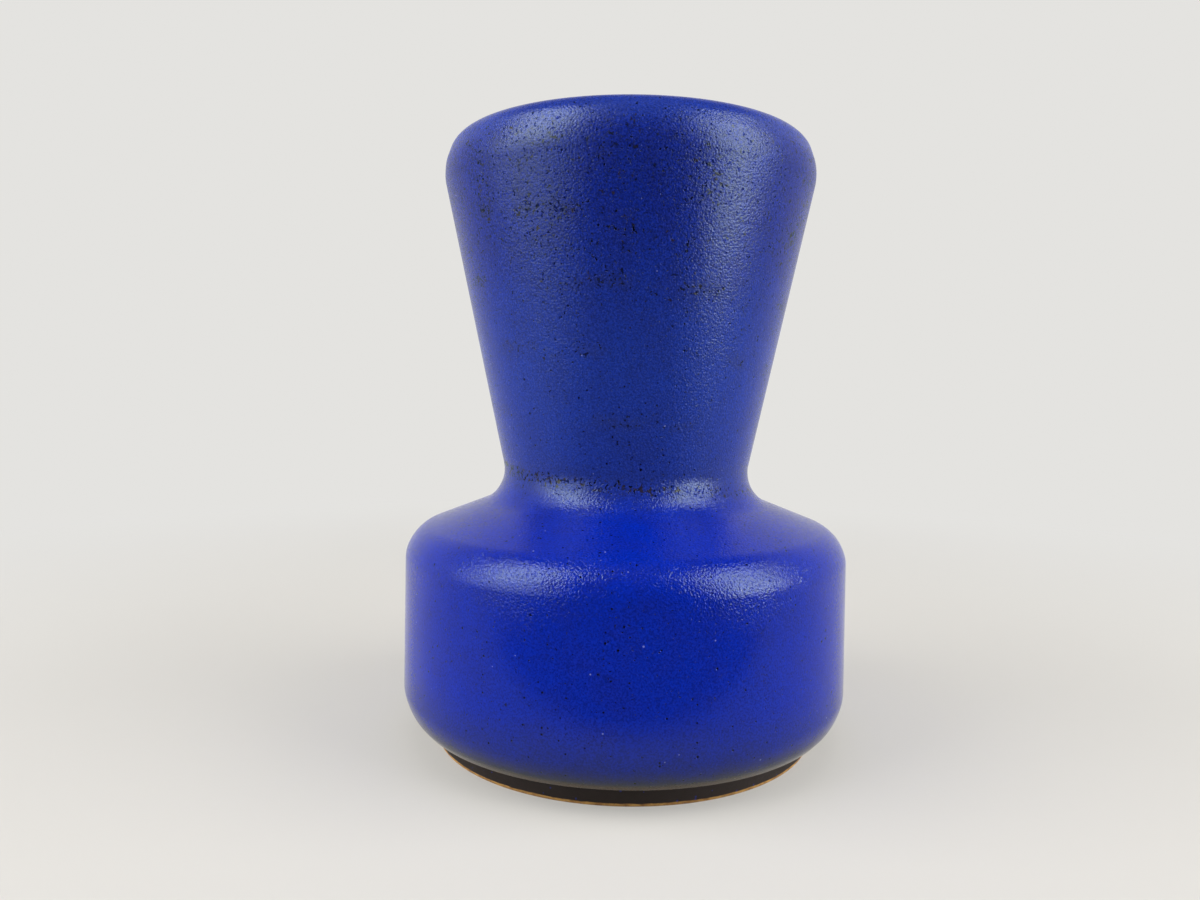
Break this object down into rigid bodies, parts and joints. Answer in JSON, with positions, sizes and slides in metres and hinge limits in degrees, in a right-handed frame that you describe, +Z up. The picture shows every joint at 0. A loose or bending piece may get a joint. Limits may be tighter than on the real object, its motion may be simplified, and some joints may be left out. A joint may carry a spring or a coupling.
{
  "type": "flower vase",
  "caption": "Stoneware flower vase with a squat round-shouldered belly, a narrow waist and a flared neck with an in-turned rim, on a low foot ring.",
  "frame": {"origin": "centre of the circle that the foot ring stands on, in the plane of the table", "axes": "+Z up along the vase's turning axis, from the foot to the mouth; X and Y are any two directions square to it"},
  "size_m": [0.1506, 0.1506, 0.2],
  "materials": {
    "foot_slip": "dark brown slip, matt, wiped to bare tan clay where it stands",
    "belly_glaze": "satin cobalt blue glaze with fine dark specks, thinning to olive grey at the lower edge",
    "neck_glaze": "satin cobalt blue glaze with dense dark brown specks and faint throwing lines"
  },
  "bodies": {
    "root": {"foot_ring": "foot_slip", "belly": "belly_glaze", "neck": "neck_glaze"}
  },
  "joints": []
}
